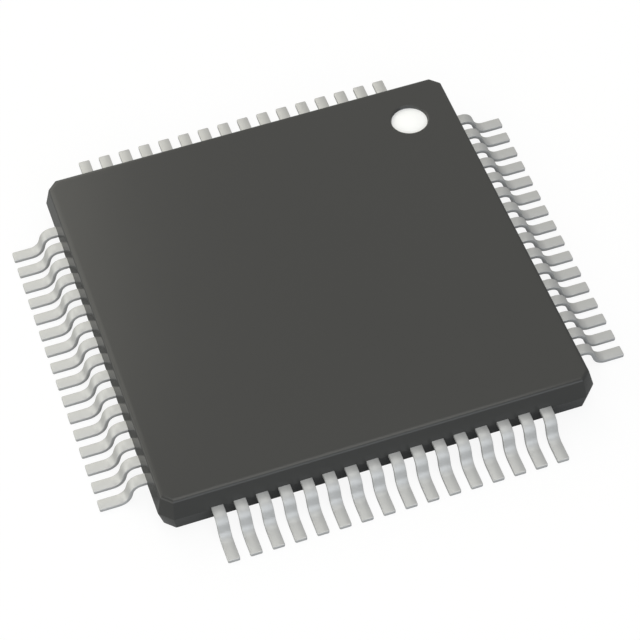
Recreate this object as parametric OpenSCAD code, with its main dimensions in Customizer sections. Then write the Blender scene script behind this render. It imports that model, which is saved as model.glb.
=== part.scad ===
// Quad flat pack chip: a thin moulded body with a row of gull-wing leads on each of its four sides.
// The seating plane is Z = 0, and its centre is the origin. The pin-one mark lies in the -X, +Y
// corner, and the leads are numbered from it, counter-clockwise as seen from above.

/* [Moulded body] */
// Width of the body at its parting line, the same both ways
body_w = 9.99; // [9.7:0.01:10.3]
// Thickness of the body above the parting line
upper_t = 0.5; // [0.4:0.01:0.7]
// Thickness of the body below the parting line
lower_t = 0.46; // [0.35:0.01:0.6]
// Gap between the seating plane and the underside of the body
standoff = 0.07; // [0.05:0.01:0.15]
// Draft of the walls, up and down from the parting line, in degrees
draft = 13; // [5:1:16]
// Leg of the cut across each corner, at the parting line
corner_cut = 0.28; // [0.1:0.01:0.5]
// Radius along the top edges
top_edge_r = 0.08; // [0.02:0.01:0.12]
// Radius along the bottom edges
bottom_edge_r = 0.03; // [0.01:0.01:0.1]

/* [Pin-one mark] */
// Distance of the mark's centre from both walls of its corner, at the parting line
mark_inset = 1.225; // [0.9:0.005:1.6]
// Diameter of the dimple at the top face
mark_rim_d = 0.9; // [0.7:0.01:1.2]
// Diameter of the dimple's floor
mark_floor_d = 0.86; // [0.5:0.01:0.88]
// Depth of the dimple
mark_depth = 0.08; // [0.04:0.01:0.12]
// Thickness of the ink on the dimple's floor
ink_t = 0.01; // [0.005:0.001:0.02]

/* [Leads outside the body] */
// Leads in each of the four rows
leads_per_side = 16; // [8:4:16]
// Spacing of the leads at the board
lead_pitch = 0.5; // [0.4:0.01:0.52]
// Width of a lead
lead_w = 0.27; // [0.17:0.01:0.3]
// Thickness of the lead frame
lead_t = 0.09; // [0.06:0.01:0.12]
// Reach of a lead from the parting line to its tip
lead_reach = 1.105; // [1:0.005:1.3]
// Length of the flat foot
foot_len = 0.43; // [0.3:0.01:0.53]
// Slope of the leg between shoulder and foot, in degrees from level
leg_angle = 72; // [60:1:80]
// Radius of the shoulder bend, to the middle of the metal
shoulder_r = 0.25; // [0.1:0.01:0.3]
// Radius of the heel bend, to the middle of the metal
heel_r = 0.29; // [0.1:0.01:0.34]
// Rounding of the tip's two corners, seen from above
tip_corner_r = 0.03; // [0.01:0.01:0.08]

/* [Lead frame inside the body] */
// Length over which a lead keeps its full width behind the wall
anchor_len = 0.35; // [0.2:0.01:0.6]
// Width of a lead's inner finger
finger_w = 0.16; // [0.1:0.01:0.2]
// Gap between the edge of the die pad and the finger tips, seen from above
finger_gap = 0.35; // [0.25:0.01:0.5]
// Distance from a corner's diagonal to the middle of the nearest finger, along the row of tips
finger_corner_gap = 0.4; // [0.35:0.01:0.6]
// Width of the square die pad
pad_w = 5.5; // [4.8:0.1:5.8]
// How far the die pad lies below the fingers
downset = 0.19; // [0.1:0.01:0.22]
// Width of the tie bars that carry the die pad
tie_w = 0.2; // [0.1:0.01:0.24]
// Level stretch of a tie bar between the pad's corner and its rise
tie_level_len = 0.25; // [0.1:0.01:0.6]
// Plastic between the end of a tie bar and the corner face
tie_cover = 0.15; // [0.05:0.01:0.4]

/* [Die and wires] */
// Width of the square silicon die
die_w = 4; // [3.4:0.1:4.6]
// Thickness of the die
die_t = 0.25; // [0.18:0.01:0.3]
// Thickness of the adhesive under the die
attach_t = 0.02; // [0.01:0.01:0.04]
// How far the adhesive spreads past the die
attach_fillet = 0.08; // [0.02:0.01:0.15]
// Distance of the bond pads from the die's edge
bond_inset = 0.12; // [0.08:0.01:0.2]
// Distance from the die's corner to its first bond pad, along the edge
bond_corner_gap = 0.35; // [0.25:0.01:0.5]
// Distance of the stitch from the tip of its finger
stitch_setback = 0.18; // [0.12:0.01:0.3]
// Diameter of a bond wire
wire_d = 0.025; // [0.02:0.001:0.035]
// Height of a wire's loop above the die
loop_h = 0.13; // [0.11:0.01:0.2]
// Diameter of the ball at a wire's start
ball_d = 0.07; // [0.05:0.005:0.09]
// Height of the ball
ball_h = 0.02; // [0.01:0.005:0.03]
// Length of the stitch that lies flat on the finger
stitch_len = 0.06; // [0.03:0.01:0.1]

/* [Hidden] */
// Neighbouring leads, and their wires, that are kept together
leads_per_group = 4;
lead_count = 4 * leads_per_side;
group_count = lead_count / leads_per_group;
lead_names = [for (g = [0 : group_count - 1]) str("leads_", first_pin(g), "_to_", last_pin(g))];
wire_names = [for (g = [0 : group_count - 1]) str("bond_wires_", first_pin(g), "_to_", last_pin(g))];

// Steps in each rounded edge and in each bend
edge_steps = 5;
bend_steps = 7;
tip_steps = 4;
// Overrun of a cutting shape past what it cuts
over = 0.05;
round_fn = 96;
wire_sides = 6;

parting_z = standoff + lower_t;
top_z = parting_z + upper_t;
corner_half = (body_w - corner_cut) / sqrt(2);
mark_at = body_w / 2 - mark_inset;
dimple_floor_z = top_z - mark_depth;

frame_z = parting_z - lead_t / 2;
frame_top_z = frame_z + lead_t;
tip_u = body_w / 2 + lead_reach;
heel_u = tip_u - foot_len;
leg_drop = parting_z - lead_t / 2 - (shoulder_r + heel_r) * (1 - cos(leg_angle));
leg_run = (shoulder_r + heel_r) * sin(leg_angle) + leg_drop / tan(leg_angle);
shoulder_u = heel_u - leg_run;

anchor_u = body_w / 2 - anchor_len;
finger_tip_u = pad_w / 2 + finger_gap;
row_middle = (leads_per_side - 1) / 2;
finger_pitch = (finger_tip_u - finger_corner_gap) / row_middle;

pad_z = frame_z - downset;
attach_z = pad_z + lead_t;
die_z = attach_z + attach_t;
die_top_z = die_z + die_t;
tie_start = pad_w / sqrt(2);
tie_end = corner_half - tie_cover;

bond_u = die_w / 2 - bond_inset;
bond_pitch = (die_w / 2 - bond_corner_gap) / row_middle;
stitch_u = finger_tip_u + stitch_setback;
// Spacing of the stitches, which lie on the slanted fingers between their tips and the anchors
stitch_pitch = finger_pitch + (lead_pitch - finger_pitch) * stitch_setback / (anchor_u - finger_tip_u);

function first_pin(group) = group * leads_per_group + 1;
function last_pin(group) = (group + 1) * leads_per_group;
function arc(centre, r, from, to, steps) =
    [for (k = [0 : steps]) let (a = from + (to - from) * k / steps) centre + r * [cos(a), sin(a)]];

// One side of the body's section above or below the parting line, from the wall to the flat face
function drafted_edge(half, rise, r) =
    let (cz = rise - r, cx = half - (r + cz * sin(draft)) / cos(draft))
    arc([cx, cz], r, draft, 90, edge_steps);

function flip(points) = [for (k = [len(points) - 1 : -1 : 0]) points[k]];
function mirrored(points, mx, my) = [for (p = points) [p.x * mx, p.y * my]];

// The whole section across two opposite walls that lie at a distance half from the centre
function body_section(half) =
    let (upper = drafted_edge(half, upper_t, top_edge_r),
         lower = mirrored(drafted_edge(half, lower_t, bottom_edge_r), 1, -1),
         right = concat(flip(lower), [[half, 0]], upper))
    concat(right, flip(mirrored(right, -1, 1)));

// Side view of the formed lead: one face of the metal, at a distance off from its middle line
function lead_face(off) = concat(
    [[finger_tip_u - over, parting_z + off]],
    arc([shoulder_u, parting_z - shoulder_r], shoulder_r + off, 90, 90 - leg_angle, bend_steps),
    arc([heel_u, lead_t / 2 + heel_r], heel_r - off, 270 - leg_angle, 270, bend_steps),
    [[tip_u + over, lead_t / 2 + off]]);

// Plan view of the stamped lead with the given place in its row: tip, anchor and slanted finger
function lead_outline(place) =
    let (v = (place - row_middle) * lead_pitch,
         vf = (place - row_middle) * finger_pitch,
         w = lead_w / 2,
         corner = [tip_u - tip_corner_r, w - tip_corner_r],
         far = [for (p = arc(corner, tip_corner_r, 90, 0, tip_steps)) [p.x, v + p.y]],
         near = [for (p = arc(corner, tip_corner_r, 0, 90, tip_steps)) [p.x, v - p.y]])
    concat([[finger_tip_u, vf - finger_w / 2], [finger_tip_u, vf + finger_w / 2], [anchor_u, v + w]],
           far, near, [[anchor_u, v - w]]);

// A wire in its own vertical plane: each ring is [distance, height, heading, radius]
function wire_rings(span, drop) =
    let (r = wire_d / 2,
         bend_r = 2 * wire_d,
         fall = atan2(loop_h + drop, span) / 2,
         bend_z = loop_h - r - bend_r,
         crest = arc([bend_r, bend_z], bend_r, 180, 90 - fall, 2),
         flat_z = r * cos(180 / wire_sides) - drop)
    [[0, 0, 90, ball_d / 2],
     [0, ball_h, 90, ball_d / 2],
     [0, ball_h + r, 90, r],
     [crest[0].x, crest[0].y, 90, r],
     [crest[1].x, crest[1].y, 45 - fall / 2, r],
     [crest[2].x, crest[2].y, -fall, r],
     [span - stitch_len / 2, flat_z, -fall, r],
     [span + stitch_len / 2, flat_z, 0, r]];

module body_slab(half) {
    translate([0, 0, parting_z])
        rotate([90, 0, 0])
            linear_extrude(height = 2 * body_w, center = true)
                polygon(body_section(half));
}

module dimple() {
    widening = (mark_rim_d - mark_floor_d) / mark_depth;
    translate([-mark_at, mark_at, dimple_floor_z])
        cylinder(h = mark_depth + over, d1 = mark_floor_d, d2 = mark_rim_d + over * widening, $fn = round_fn);
}

module mould_shape() {
    intersection() {
        body_slab(body_w / 2);
        rotate(90) body_slab(body_w / 2);
        rotate(45) body_slab(corner_half);
        rotate(135) body_slab(corner_half);
    }
}

// Turns a lead's own frame, with X pointing out of the body, to the side that holds the pin
module on_side(pin) {
    rotate(180 + 90 * floor((pin - 1) / leads_per_side)) children();
}

module stamped_leads(group, z, height) {
    for (pin = [first_pin(group) : last_pin(group)])
        on_side(pin)
            translate([0, 0, z])
                linear_extrude(height = height)
                    polygon(lead_outline((pin - 1) % leads_per_side));
}

module formed_row(group) {
    on_side(first_pin(group))
        rotate([90, 0, 0])
            linear_extrude(height = body_w, center = true)
                polygon(concat(lead_face(lead_t / 2), flip(lead_face(-lead_t / 2))));
}

module lead_group(group) {
    color("#c9c9c3")
        intersection() {
            stamped_leads(group, -over, top_z);
            formed_row(group);
        }
}

module tie_bar() {
    rise_at = tie_start + tie_level_len;
    under = [[0, pad_z], [rise_at, pad_z], [rise_at + downset, frame_z], [tie_end, frame_z]];
    rotate([90, 0, 0])
        linear_extrude(height = tie_w, center = true)
            polygon(concat(under, flip([for (p = under) p + [0, lead_t]])));
}

module die_pad() {
    color("#b87a4b") {
        translate([0, 0, pad_z])
            linear_extrude(height = lead_t)
                square(pad_w, center = true);
        for (turn = [45 : 90 : 315])
            rotate(turn) tie_bar();
    }
}

module die_attach() {
    color("#9a9a94")
        translate([0, 0, attach_z])
            linear_extrude(height = attach_t)
                square(die_w + 2 * attach_fillet, center = true);
}

module silicon_die() {
    color("#6a7078")
        translate([0, 0, die_z])
            linear_extrude(height = die_t)
                square(die_w, center = true);
}

module bond_wire(place) {
    start = [bond_u, (place - row_middle) * bond_pitch];
    end = [stitch_u, (place - row_middle) * stitch_pitch];
    span = norm(end - start);
    rings = wire_rings(span, die_top_z - frame_top_z);
    last = len(rings) - 1;
    points = [for (ring = rings, k = [0 : wire_sides - 1])
        let (a = 360 * k / wire_sides, lift = ring[3] * sin(a))
        [ring[0] - lift * sin(ring[2]), ring[3] * cos(a), ring[1] + lift * cos(ring[2])]];
    walls = [for (n = [0 : last - 1], k = [0 : wire_sides - 1])
        let (m = (k + 1) % wire_sides)
        [n * wire_sides + k, n * wire_sides + m, (n + 1) * wire_sides + m, (n + 1) * wire_sides + k]];
    caps = [flip([for (k = [0 : wire_sides - 1]) k]), [for (k = [0 : wire_sides - 1]) last * wire_sides + k]];
    translate([start.x, start.y, die_top_z])
        rotate(atan2(end.y - start.y, end.x - start.x))
            polyhedron(points = points, faces = concat(walls, caps));
}

module wire_group(group) {
    color("#d9b25a")
        for (pin = [first_pin(group) : last_pin(group)])
            on_side(pin) bond_wire((pin - 1) % leads_per_side);
}

module moulded_body() {
    color("#464644")
        difference() {
            mould_shape();
            dimple();
            for (group = [0 : group_count - 1]) stamped_leads(group, frame_z, lead_t);
            die_pad();
            die_attach();
            silicon_die();
            for (group = [0 : group_count - 1]) wire_group(group);
        }
}

module pin_one_mark() {
    color("white")
        translate([-mark_at, mark_at, dimple_floor_z])
            cylinder(h = ink_t, d = mark_floor_d, $fn = round_fn);
}

moulded_body();
pin_one_mark();
die_pad();
die_attach();
silicon_die();
for (group = [0 : group_count - 1]) lead_group(group);
for (group = [0 : group_count - 1]) wire_group(group);
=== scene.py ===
import math

import bmesh
import bpy
from mathutils import Matrix, Vector


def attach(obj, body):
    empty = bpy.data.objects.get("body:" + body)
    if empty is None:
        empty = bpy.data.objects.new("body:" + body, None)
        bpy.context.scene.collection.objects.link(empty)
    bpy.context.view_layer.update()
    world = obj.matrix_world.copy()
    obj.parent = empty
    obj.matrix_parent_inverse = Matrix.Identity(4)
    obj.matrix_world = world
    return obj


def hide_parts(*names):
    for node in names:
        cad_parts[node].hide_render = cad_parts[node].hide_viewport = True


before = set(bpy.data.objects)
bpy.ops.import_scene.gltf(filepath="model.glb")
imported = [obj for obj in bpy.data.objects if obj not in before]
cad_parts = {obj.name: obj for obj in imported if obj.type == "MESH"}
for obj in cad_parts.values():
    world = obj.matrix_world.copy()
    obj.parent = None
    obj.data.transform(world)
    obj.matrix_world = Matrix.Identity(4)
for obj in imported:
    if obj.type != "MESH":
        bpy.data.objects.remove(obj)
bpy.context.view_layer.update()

# Camera. It looks down on the chip with a long lens from beyond the row of pins 33 to 48, a little
# nearer to pin 33 than to pin 48, and is turned slightly in its own plane, as the photograph is.
mm = 0.001
camera_place = Vector((35.0287, -9.6212, 44.4797)) * mm
camera_target = Vector((0.8795, -0.0605, 0.5)) * mm
camera_roll = math.radians(-3.785)
backward = (camera_place - camera_target).normalized()
sideways = Vector((0, 0, 1)).cross(backward).normalized()
facing = Matrix((sideways, backward.cross(sideways), backward)).transposed().to_4x4()
camera = bpy.data.objects.new("camera", bpy.data.cameras.new("camera"))
camera.data.sensor_width = 36
camera.data.lens = 140.839
camera.data.clip_start = 1 * mm
camera.data.clip_end = 5
camera.matrix_world = Matrix.Translation(camera_place) @ facing @ Matrix.Rotation(camera_roll, 4, "Z")
bpy.context.scene.collection.objects.link(camera)
bpy.context.scene.camera = camera

# Moulded body. A charcoal epoxy, filled with fine silica, is pressed round the lead frame in a mould
# of two halves. Their walls lean by the draft and meet on the parting line, where the leads come out,
# and the spark-eroded steel leaves a fine matt grain on the plastic.
body_width = 9.99
parting_height = 0.53
upper_rise = 0.5
lower_rise = 0.46
draft = math.radians(13)
corner_cut = 0.28
top_edge_radius = 0.08
bottom_edge_radius = 0.03
corner_edge_radius = 0.04
parting_blur = 0.008
no_distance = 0.0001
edge_turn = math.pi / 2 - draft
corner_turn = math.pi / 4
dark_resin = (0.042, 0.042, 0.0405, 1)
pale_resin = (0.047, 0.047, 0.0455, 1)
silica_grey = (0.055, 0.055, 0.053, 1)
speck_reach = 0.12
speck_strength = 0.35


def of_kind(parts, kind):
    """Those parts of a bmesh operator's result that are of one kind: points, edges or faces."""
    return [part for part in parts if isinstance(part, kind)]


moulding = bmesh.new()
bmesh.ops.create_grid(moulding, x_segments=1, y_segments=1, size=body_width / 2)
bmesh.ops.bevel(moulding, geom=moulding.verts[:], offset=corner_cut, offset_type="OFFSET",
                segments=1, profile=0.5, affect="VERTICES", material=-1)
upper_plan = moulding.faces[:]
doubled = bmesh.ops.duplicate(moulding, geom=moulding.verts[:] + moulding.edges[:] + upper_plan)
lower_plan = of_kind(doubled["geom"], bmesh.types.BMFace)
bmesh.ops.reverse_faces(moulding, faces=lower_plan)
for plan, rise in ((upper_plan, upper_rise), (lower_plan, lower_rise)):
    bmesh.ops.inset_region(moulding, faces=plan, use_boundary=True, use_even_offset=True,
                           thickness=rise * math.tan(draft), depth=rise)
bmesh.ops.remove_doubles(moulding, verts=moulding.verts, dist=no_distance)


def level_edges(shape, height):
    """The edges of a shape that lie flat at one height."""
    return [edge for edge in shape.edges if all(abs(v.co.z - height) < no_distance for v in edge.verts)]


def set_back(radius, turn):
    """How far from an edge its rounding starts, where the two faces turn by an angle."""
    return radius * math.tan(turn / 2)


def round_over(shape, edges, offset, steps):
    """Rounds edges off, starting at a distance from each along both of its faces."""
    bmesh.ops.bevel(shape, geom=edges, offset=offset, offset_type="OFFSET", segments=steps,
                    profile=0.5, affect="EDGES", clamp_overlap=True, material=-1)


round_over(moulding, level_edges(moulding, upper_rise), set_back(top_edge_radius, edge_turn), steps=6)
round_over(moulding, level_edges(moulding, -lower_rise), set_back(bottom_edge_radius, edge_turn), steps=3)
corner_lines = [e for e in moulding.edges if abs(e.verts[0].co.z - e.verts[1].co.z) > no_distance]
round_over(moulding, corner_lines, set_back(corner_edge_radius, corner_turn), steps=3)
round_over(moulding, level_edges(moulding, 0), parting_blur, steps=2)

# The dimple beside pin one is pressed by a small pin in the upper half of the mould. It has a level
# floor, a steep wall and a slightly softened rim, and is part of the same plastic.
mark_centre = Vector((-3.77, 3.77, 0))
dimple_rim_radius = 0.45
dimple_floor_radius = 0.43
dimple_depth = 0.08
dimple_rim_round = 0.012
dimple_sides = 96
flat_margin = 0.05
outer_radius = dimple_rim_radius + flat_margin
rim_place = Matrix.Translation(mark_centre + Vector((0, 0, upper_rise)))
top_face = max(moulding.faces, key=lambda face: face.calc_center_median().z)
bmesh.ops.inset_region(moulding, faces=[top_face], use_even_offset=True, thickness=flat_margin)
bmesh.ops.delete(moulding, geom=[top_face], context="FACES_ONLY")
open_edges = [edge for edge in moulding.edges if edge.is_boundary]
outer_ring = bmesh.ops.create_circle(moulding, segments=dimple_sides, radius=outer_radius,
                                     matrix=rim_place)["verts"]
ring_edges = list({edge for vert in outer_ring for edge in vert.link_edges})
bmesh.ops.triangle_fill(moulding, edges=open_edges + ring_edges, use_beauty=True,
                        normal=Vector((0, 0, 1)))


def draw_out(shape, edges):
    """Draws an open edge of a shape out into a new one that lies on it, and gives its points and edges."""
    drawn = bmesh.ops.extrude_edge_only(shape, edges=edges)["geom"]
    points = of_kind(drawn, bmesh.types.BMVert)
    return points, [e for e in of_kind(drawn, bmesh.types.BMEdge) if all(v in points for v in e.verts)]


def step_inwards(edges, narrowing, sink):
    """Carries the top face's open edge towards the dimple's centre and down, and gives the new edge."""
    ring, new_edges = draw_out(moulding, edges)
    bmesh.ops.scale(moulding, verts=ring, vec=Vector((narrowing, narrowing, 1)),
                    space=rim_place.inverted())
    bmesh.ops.translate(moulding, verts=ring, vec=Vector((0, 0, -sink)))
    return new_edges


rim_edges = step_inwards(ring_edges, dimple_rim_radius / outer_radius, sink=0)
floor_edges = step_inwards(rim_edges, dimple_floor_radius / dimple_rim_radius, sink=dimple_depth)
bmesh.ops.contextual_create(moulding, geom=floor_edges)
round_over(moulding, rim_edges, dimple_rim_round, steps=3)
bmesh.ops.translate(moulding, verts=moulding.verts, vec=Vector((0, 0, parting_height)))
bmesh.ops.recalc_face_normals(moulding, faces=moulding.faces)


class Wire:
    """A socket in a finish's nodes. Arithmetic on it adds Math nodes, and node() adds any other."""

    def __init__(self, tree, socket=None):
        self.tree, self.socket = tree, socket

    def node(self, kind, settings, sockets, out=0):
        """One output of a new node, whose settings are made before its sockets are filled or linked."""
        made = self.tree.nodes.new("ShaderNode" + kind)
        for name, value in settings.items():
            setattr(made, name, value)
        for name, value in sockets.items():
            if isinstance(value, Wire):
                self.tree.links.new(value.socket, made.inputs[name])
            else:
                made.inputs[name].default_value = value
        return Wire(self.tree, made.outputs[out] if made.outputs else None)

    def output(self, name):
        """Another output of this socket's node."""
        return Wire(self.tree, self.socket.node.outputs[name])

    def math(self, operation, *values):
        return self.node("Math", {"operation": operation}, dict(enumerate(values)))

    def __add__(self, other):
        return self.math("ADD", self, other)

    def __sub__(self, other):
        return self.math("SUBTRACT", self, other)

    def __rsub__(self, other):
        return self.math("SUBTRACT", other, self)

    def __mul__(self, other):
        return self.math("MULTIPLY", self, other)

    def __lt__(self, other):
        return self.math("LESS_THAN", self, other)

    __radd__ = __add__
    __rmul__ = __mul__

    def noise(self, scale, detail=2, roughness=0.5):
        """Smooth noise between 0 and 1 on this vector, with scale features in each of its units."""
        return self.node("TexNoise", {}, {"Vector": self, "Scale": scale, "Detail": detail,
                                          "Roughness": roughness})

    def stretched(self, along, across, up):
        """This vector, with each of its parts multiplied by a number."""
        return self.node("VectorMath", {"operation": "MULTIPLY"}, {0: self, 1: (along, across, up)})

    def blend(self, first, second):
        """A colour between two colours, by this value."""
        return self.node("Mix", {"data_type": "RGBA"}, {0: self, 6: first, 7: second}, 2)


def start_finish(name):
    """A new material, with the surface's own place in millimetres as the start of its nodes."""
    finish = bpy.data.materials.new(name)
    finish.use_nodes = True
    finish.node_tree.nodes.clear()
    place = Wire(finish.node_tree).node("TexCoord", {}, {}, "Object")
    return finish, place.node("VectorMath", {"operation": "SCALE"}, {0: place, "Scale": 1 / mm})


def coat(start, sockets):
    """Ends a material in a Principled shader with the given sockets."""
    shader = start.node("BsdfPrincipled", {}, sockets)
    start.node("OutputMaterial", {}, {"Surface": shader})


mould_compound, place = start_finish("mould_compound")
spark_grain = place.noise(38, detail=3, roughness=0.6)
flow = place.noise(0.35)
filler = place.node("TexVoronoi", {}, {"Vector": place, "Scale": 55.0}, "Distance")
filler_specks = (filler < speck_reach) * speck_strength
charcoal = (spark_grain * 0.5 + flow * 0.5).blend(dark_resin, pale_resin)
coat(place, {
    "Base Color": filler_specks.blend(charcoal, silica_grey),
    "Roughness": 0.13 + spark_grain * 0.04,
    "IOR": 1.36,
    "Normal": place.node("Bump", {}, {"Height": spark_grain, "Strength": 0.04, "Distance": 0.004 * mm}),
})


def finish_piece(name, shape, finish, nodes):
    """Makes a shape drawn in millimetres a smooth piece of the chip, in place of the CAD nodes.

    Its wide faces outweigh the narrow ones of a rounding, so that only the roundings look curved.
    """
    bmesh.ops.scale(shape, verts=shape.verts, vec=Vector((mm, mm, mm)))
    mesh = bpy.data.meshes.new(name)
    shape.to_mesh(mesh)
    shape.free()
    mesh.shade_smooth()
    mesh.materials.append(finish)
    piece = bpy.data.objects.new(name, mesh)
    bpy.context.scene.collection.objects.link(piece)
    flat_faces = piece.modifiers.new("flat_faces_stay_flat", "WEIGHTED_NORMAL")
    flat_faces.keep_sharp = True
    flat_faces.weight = 100
    flat_faces.thresh = 0.001 * mm * mm
    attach(piece, "root")
    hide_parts(*nodes)


finish_piece("epoxy_body", moulding, mould_compound, ["moulded_body"])

# Pin-one mark. A drop of white epoxy ink is dabbed on the dimple's floor and cured: a thin disc that
# fills the floor, with a soft edge and a faint orange-peel surface.
ink_height = 0.01
ink_edge = 0.004
ink_shade = (0.95, 0.95, 0.95, 1)
ink_white = (0.97, 0.97, 0.97, 1)
dimple_floor = parting_height + upper_rise - dimple_depth
ink_drop = bmesh.new()
bmesh.ops.create_circle(ink_drop, cap_ends=True, segments=dimple_sides, radius=dimple_floor_radius)
skin = bmesh.ops.extrude_face_region(ink_drop, geom=ink_drop.faces[:])["geom"]
bmesh.ops.translate(ink_drop, verts=of_kind(skin, bmesh.types.BMVert), vec=Vector((0, 0, ink_height)))
round_over(ink_drop, level_edges(ink_drop, ink_height), ink_edge, steps=3)
bmesh.ops.translate(ink_drop, verts=ink_drop.verts, vec=mark_centre + Vector((0, 0, dimple_floor)))
bmesh.ops.recalc_face_normals(ink_drop, faces=ink_drop.faces)

white_ink, place = start_finish("white_ink")
orange_peel = place.noise(14)
coat(place, {
    "Base Color": orange_peel.blend(ink_shade, ink_white),
    "Roughness": 0.4 + orange_peel * 0.1,
    "Normal": place.node("Bump", {}, {"Height": orange_peel, "Strength": 0.2, "Distance": 0.002 * mm}),
})
finish_piece("white_ink_dot", ink_drop, white_ink, ["pin_one_mark"])

# Leads. Each is stamped from thin copper strip, plated with matt tin, and bent between rollers into a
# gull wing: level out of the wall, down a steep leg, and out again into a flat foot. Inside the body
# it goes on as an anchor and a narrower finger, which slants towards the die.
leads_per_side = 16
leads_per_piece = 4
lead_pitch = 0.5
lead_width = 0.27
lead_thickness = 0.09
finger_width = 0.16
finger_tip = 3.1
finger_pitch = 0.36
anchor_start = 4.645
tip_reach = 6.1
foot_length = 0.43
leg_slope = math.radians(72)
shoulder_radius = 0.25
heel_radius = 0.29
tip_corner_radius = 0.03
worn_edge = 0.012
bend_steps = 8
stamped_angle = math.radians(60)
next_strip = Vector((3.1, 1.7))
dull_tin = (0.46, 0.46, 0.455, 1)
bright_tin = (0.53, 0.53, 0.525, 1)
heel_start = tip_reach - foot_length
bend_drop = (shoulder_radius + heel_radius) * (1 - math.cos(leg_slope))
leg_drop = parting_height - lead_thickness / 2 - bend_drop
bend_run = (shoulder_radius + heel_radius) * math.sin(leg_slope)
shoulder_start = heel_start - bend_run - leg_drop / math.tan(leg_slope)
shoulder_centre = Vector((shoulder_start, 0, parting_height - shoulder_radius))
heel_centre = Vector((heel_start, 0, lead_thickness / 2 + heel_radius))
leg_length = leg_drop / math.sin(leg_slope)
downhill = Vector((math.cos(leg_slope), 0, -math.sin(leg_slope)))
leg_top = shoulder_centre + shoulder_radius * Vector((math.sin(leg_slope), 0, math.cos(leg_slope)))

# The strip is drawn from the finger's tip, where its section stands upright, out to the foot.
lead = bmesh.new()
strip_end = Matrix.Translation((finger_tip, 0, parting_height)) @ Matrix.Rotation(-math.pi / 2, 4, "Y")
bmesh.ops.create_grid(lead, x_segments=1, y_segments=1, size=0.5,
                      matrix=strip_end @ Matrix.Diagonal((lead_thickness, finger_width, 1, 1)))


def pull_strip(section, along):
    """Draws the open end of the strip straight on, and gives its new end."""
    points, new_end = draw_out(lead, section)
    bmesh.ops.translate(lead, verts=points, vec=along)
    return new_end


def bend_strip(section, centre, angle):
    """Bends the open end of the strip about a line across it, and gives its new end."""
    bent = bmesh.ops.spin(lead, geom=section, cent=centre, axis=Vector((0, 1, 0)),
                          dvec=Vector((0, 0, 0)), angle=angle, steps=bend_steps,
                          use_merge=False, use_duplicate=False)["geom_last"]
    return of_kind(bent, bmesh.types.BMEdge)


section = pull_strip(lead.edges[:], Vector((anchor_start - finger_tip, 0, 0)))
bmesh.ops.scale(lead, verts=list({v for edge in section for v in edge.verts}),
                vec=Vector((1, lead_width / finger_width, 1)))
section = pull_strip(section, Vector((shoulder_start - anchor_start, 0, 0)))
section = bend_strip(section, shoulder_centre, leg_slope)
section = pull_strip(section, downhill * leg_length)
section = bend_strip(section, heel_centre, -leg_slope)
section = pull_strip(section, Vector((foot_length, 0, 0)))
bmesh.ops.contextual_create(lead, geom=section)
tip_corners = [e for e in section if abs(e.verts[0].co.y - e.verts[1].co.y) < no_distance]
round_over(lead, tip_corners, tip_corner_radius, steps=4)
bmesh.ops.recalc_face_normals(lead, faces=lead.faces)
stamped_edges = [e for e in lead.edges if e.calc_face_angle() > stamped_angle and e.calc_length() > 0]
round_over(lead, stamped_edges, worn_edge, steps=2)
bmesh.ops.recalc_face_normals(lead, faces=lead.faces)


def within(value, low, high):
    """A value, kept between two limits."""
    return max(low, min(value, high))


def run_along(point):
    """How far along the middle of the strip a point lies."""
    from_shoulder = point - shoulder_centre
    from_heel = point - heel_centre
    shoulder_turn = within(math.atan2(from_shoulder.x, from_shoulder.z), 0, leg_slope)
    heel_turn = within(leg_slope - math.atan2(-from_heel.x, -from_heel.z), 0, leg_slope)
    on_leg = within((point - leg_top).dot(downhill), 0, leg_length)
    level = min(point.x, shoulder_start) + max(point.x - heel_start, 0)
    return level + shoulder_radius * shoulder_turn + on_leg + heel_radius * heel_turn


rolled_grain = lead.loops.layers.uv.new("rolled_grain")
for face in lead.faces:
    for corner in face.loops:
        corner[rolled_grain].uv = (run_along(corner.vert.co), corner.vert.co.y)

tin_plate, place = start_finish("tin_plate")
rolled = place.node("UVMap", {"uv_map": "rolled_grain"}, {})
roll_lines = rolled.stretched(0.7, 34, 1).noise(1, detail=3, roughness=0.6)
fine_lines = rolled.stretched(2.5, 110, 1).noise(1)
tin_grain = place.noise(60, roughness=0.6)
brushing = roll_lines * 0.6 + fine_lines * 0.4
plating = brushing * 0.7 + tin_grain * 0.3
coat(place, {
    "Base Color": plating.blend(dull_tin, bright_tin),
    "Metallic": 0.35,
    "Roughness": 0.4 + brushing * 0.1,
    "Specular IOR Level": 0.0,
    "Normal": place.node("Bump", {}, {"Height": plating, "Strength": 0.12, "Distance": 0.004 * mm}),
})

# The pins are counted anticlockwise from the mark: the row at the back, the one on the left, and so on.
# Each lead is cut from another place of the strip, so that no two have the same rolling lines.
for first_pin in range(1, 4 * leads_per_side, leads_per_piece):
    group = bmesh.new()
    last_pin = first_pin + leads_per_piece - 1
    for pin in range(first_pin, last_pin + 1):
        side, place_in_row = divmod(pin - 1, leads_per_side)
        from_middle = place_in_row - (leads_per_side - 1) / 2
        own = lead.copy()
        finger_end = [v for v in own.verts if v.co.x < (finger_tip + anchor_start) / 2]
        slant = Vector((0, from_middle * (finger_pitch - lead_pitch), 0))
        bmesh.ops.translate(own, verts=finger_end, vec=slant)
        bmesh.ops.translate(own, verts=own.verts, vec=Vector((0, from_middle * lead_pitch, 0)))
        bmesh.ops.rotate(own, verts=own.verts, matrix=Matrix.Rotation(math.pi * (1 + side / 2), 3, "Z"))
        own_grain = own.loops.layers.uv["rolled_grain"]
        for face in own.faces:
            for corner in face.loops:
                corner[own_grain].uv += next_strip * pin
        formed = bpy.data.meshes.new("formed_lead")
        own.to_mesh(formed)
        own.free()
        group.from_mesh(formed)
        bpy.data.meshes.remove(formed)
    pins = f"{first_pin}_to_{last_pin}"
    finish_piece("tinned_leads_" + pins, group, tin_plate, ["leads_" + pins])
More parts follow.
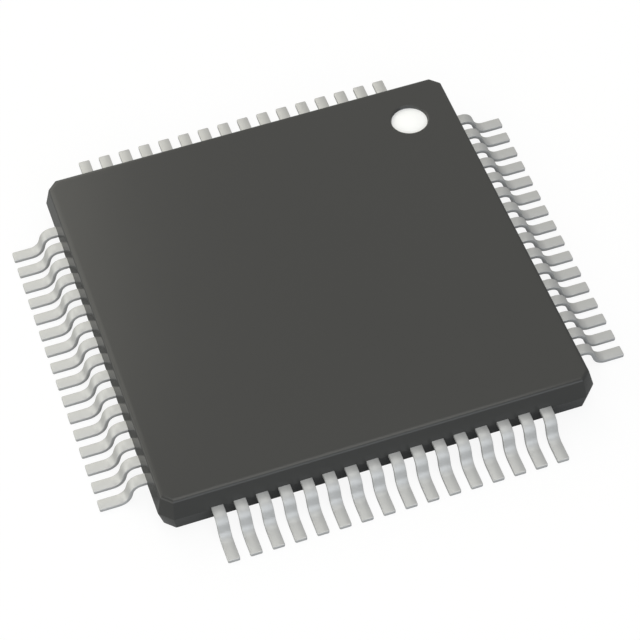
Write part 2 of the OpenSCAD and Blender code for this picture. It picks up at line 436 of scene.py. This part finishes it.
lead.free()

# Die pad. The same copper strip carries a square pad in the middle of the lead frame, pressed down
# below the fingers and held by a tie bar at each corner. It keeps its rolled, slightly dull surface.
dark_copper = (0.62, 0.3, 0.17, 1)
bright_copper = (0.72, 0.39, 0.25, 1)


def dress_node(name, finish):
    """Gives a CAD node that stays its finish."""
    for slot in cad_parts[name].material_slots:
        slot.material = finish


copper, place = start_finish("copper")
rolling = place.stretched(0.8, 22, 22).noise(1, detail=3, roughness=0.6)
dulling = place.noise(1.3, detail=3)
coat(place, {
    "Base Color": dulling.blend(dark_copper, bright_copper),
    "Metallic": 1.0,
    "Roughness": 0.3 + rolling * 0.15,
    "Normal": place.node("Bump", {}, {"Height": rolling, "Strength": 0.15, "Distance": 0.004 * mm}),
})
dress_node("die_pad", copper)

# Die attach. A silver-filled epoxy paste is dabbed on the pad; it spreads a little past the die when
# that is pressed down, and cures to a dull grey film with tiny bright flakes.
dark_paste = (0.3, 0.3, 0.29, 1)
pale_paste = (0.42, 0.42, 0.41, 1)
silver_adhesive, place = start_finish("silver_adhesive")
flakes = place.node("TexVoronoi", {}, {"Vector": place, "Scale": 70.0}, "Distance")
smear = place.noise(6, detail=3)
coat(place, {
    "Base Color": smear.blend(dark_paste, pale_paste),
    "Metallic": 0.4 + flakes * 0.5,
    "Roughness": 0.7 - flakes * 0.4,
    "Normal": place.node("Bump", {}, {"Height": smear, "Strength": 0.3, "Distance": 0.01 * mm}),
})
dress_node("die_attach", silver_adhesive)

# Silicon die. A square of polished silicon, sawn from its wafer, is glued to the pad with its circuits
# upwards. Oblong blocks of circuit catch the light a little differently under the clear glass layer.
die_half = 2.0
die_border = 0.06
bare_silicon = (0.2, 0.21, 0.24, 1)
circuit_blue = (0.12, 0.19, 0.24, 1)
silicon, place = start_finish("silicon")
across = place.node("SeparateXYZ", {}, {0: place}, "X")
along = across.output("Y")
edge_distance = place.math("MAXIMUM", place.math("ABSOLUTE", across), place.math("ABSOLUTE", along))
circuit_area = edge_distance < die_half - die_border
blocks = place.node("TexVoronoi", {"distance": "CHEBYCHEV"}, {"Vector": place, "Scale": 2.2}, "Color")
block_shade = place.node("SeparateXYZ", {}, {0: blocks}, "X")
tracks = place.stretched(40, 5, 1).noise(1, detail=1)
circuit_shade = circuit_area * (0.3 + block_shade * 0.5 + tracks * 0.2)
coat(place, {
    "Base Color": circuit_shade.blend(bare_silicon, circuit_blue),
    "Metallic": 0.6 + circuit_area * 0.3,
    "Roughness": 0.15 + tracks * 0.1,
})
dress_node("silicon_die", silicon)

# Bond wires. Gold wire, thinner than a hair, is balled onto each pad of the die, looped over and
# stitched to its finger. It keeps a bright drawn surface.
deep_gold = (0.93, 0.64, 0.25, 1)
pale_gold = (1.0, 0.75, 0.35, 1)
bond_gold, place = start_finish("bond_gold")
drawing = place.noise(90)
coat(place, {
    "Base Color": drawing.blend(deep_gold, pale_gold),
    "Metallic": 1.0,
    "Roughness": 0.16 + drawing * 0.1,
})
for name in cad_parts:
    if name.startswith("bond_wires_"):
        dress_node(name, bond_gold)

# Floor. A wide sheet of matt white paper lies under the chip and keeps its soft shadow. The camera
# sees it nearly as the pure white of the photograph, and the chip gets the softer light of a pale grey.
floor_size = 0.6
floor_gap = 0.002 * mm
camera_lift = 0.9
mirror_lift = 0.05
seen_shade = (0.95, 0.95, 0.95, 1)
seen_white = (0.97, 0.97, 0.97, 1)
bounced_shade = (0.35, 0.355, 0.36, 1)
bounced_grey = (0.38, 0.385, 0.39, 1)
white = (1, 1, 1, 1)
paper = bmesh.new()
bmesh.ops.create_grid(paper, x_segments=8, y_segments=8, size=floor_size / 2)
bmesh.ops.translate(paper, verts=paper.verts, vec=Vector((0, 0, -floor_gap)))
paper_mesh = bpy.data.meshes.new("paper_floor")
paper.to_mesh(paper_mesh)
paper.free()
floor = bpy.data.objects.new("paper_floor", paper_mesh)
bpy.context.scene.collection.objects.link(floor)


def sight(start):
    """A mask of what the camera sees straight on, and one of what it sees in metal or through glass."""
    seen = start.node("LightPath", {}, {}, "Is Camera Ray")
    return seen, seen.math("MAXIMUM", seen.output("Is Glossy Ray"), seen.output("Is Transmission Ray"))


white_paper, place = start_finish("white_paper")
seen, mirrored = sight(place)
fibres = place.noise(0.4, detail=3)
paper_colour = seen.blend(fibres.blend(bounced_shade, bounced_grey), fibres.blend(seen_shade, seen_white))
matt = place.node("BsdfDiffuse", {}, {"Color": paper_colour})
glow = place.node("Emission", {}, {"Color": white, "Strength": 1.0})
lift = seen * camera_lift + mirrored * mirror_lift
paper_look = place.node("MixShader", {}, {0: lift, 1: matt, 2: glow})
place.node("OutputMaterial", {}, {"Surface": paper_look})
paper_mesh.materials.append(white_paper)

# Light. The room is pale and low, and white where the camera sees past the floor. One soft lamp hangs
# over the chip, and upright ones stand behind it, along its left and before it, with none on its right.
room_level = 0.3
mirrored_room = 0.15
room = bpy.data.worlds.new("room")
room.use_nodes = True
room.node_tree.nodes.clear()
start = Wire(room.node_tree)
seen, mirrored = sight(start)
room_strength = room_level + seen * (1 - room_level) + mirrored * mirrored_room
sky = start.node("Background", {}, {"Color": white, "Strength": room_strength})
start.node("OutputWorld", {}, {"Surface": sky})
bpy.context.scene.world = room


def softbox(name, place, turn, lean, width, height, glow, colour):
    """A one-sided soft lamp, glow times as bright as a white surface in plain light.

    It looks straight down until it is leant up and turned round, in degrees. Its sizes are millimetres.
    """
    box = bpy.data.objects.new(name, bpy.data.lights.new(name, "AREA"))
    box.data.shape = "RECTANGLE"
    box.data.size, box.data.size_y = width * mm, height * mm
    box.data.energy = glow * math.pi * width * height * mm * mm
    box.data.color = colour
    box.visible_camera = False
    aim = Matrix.Rotation(math.radians(turn), 4, "Z") @ Matrix.Rotation(math.radians(lean), 4, "X")
    box.matrix_world = Matrix.Translation(Vector(place) * mm) @ aim
    bpy.context.scene.collection.objects.link(box)


softbox("over_chip", (-32, 30, 401), 90, 0, 180, 384, 2.2, (1.0, 1.0, 0.95))
softbox("back_left", (-389, -95, 367), 283.7, 90, 312, 430, 2.3, (1.0, 0.98, 0.88))
softbox("back_right", (-357, 180, 354), 243.2, 90, 263, 692, 0.4, (1.0, 0.98, 0.88))
softbox("left_back", (-185, -355, 154), 332.5, 90, 416, 292, 1.7, (1.0, 1.0, 0.92))
softbox("left_front", (185, -355, 154), 27.5, 90, 416, 292, 1.6, (1.0, 1.0, 0.93))
softbox("front", (400, 0, 244), 90, 90, 560, 472, 1.7, (0.87, 0.93, 1.0))

bpy.context.scene.view_settings.view_transform = "Standard"
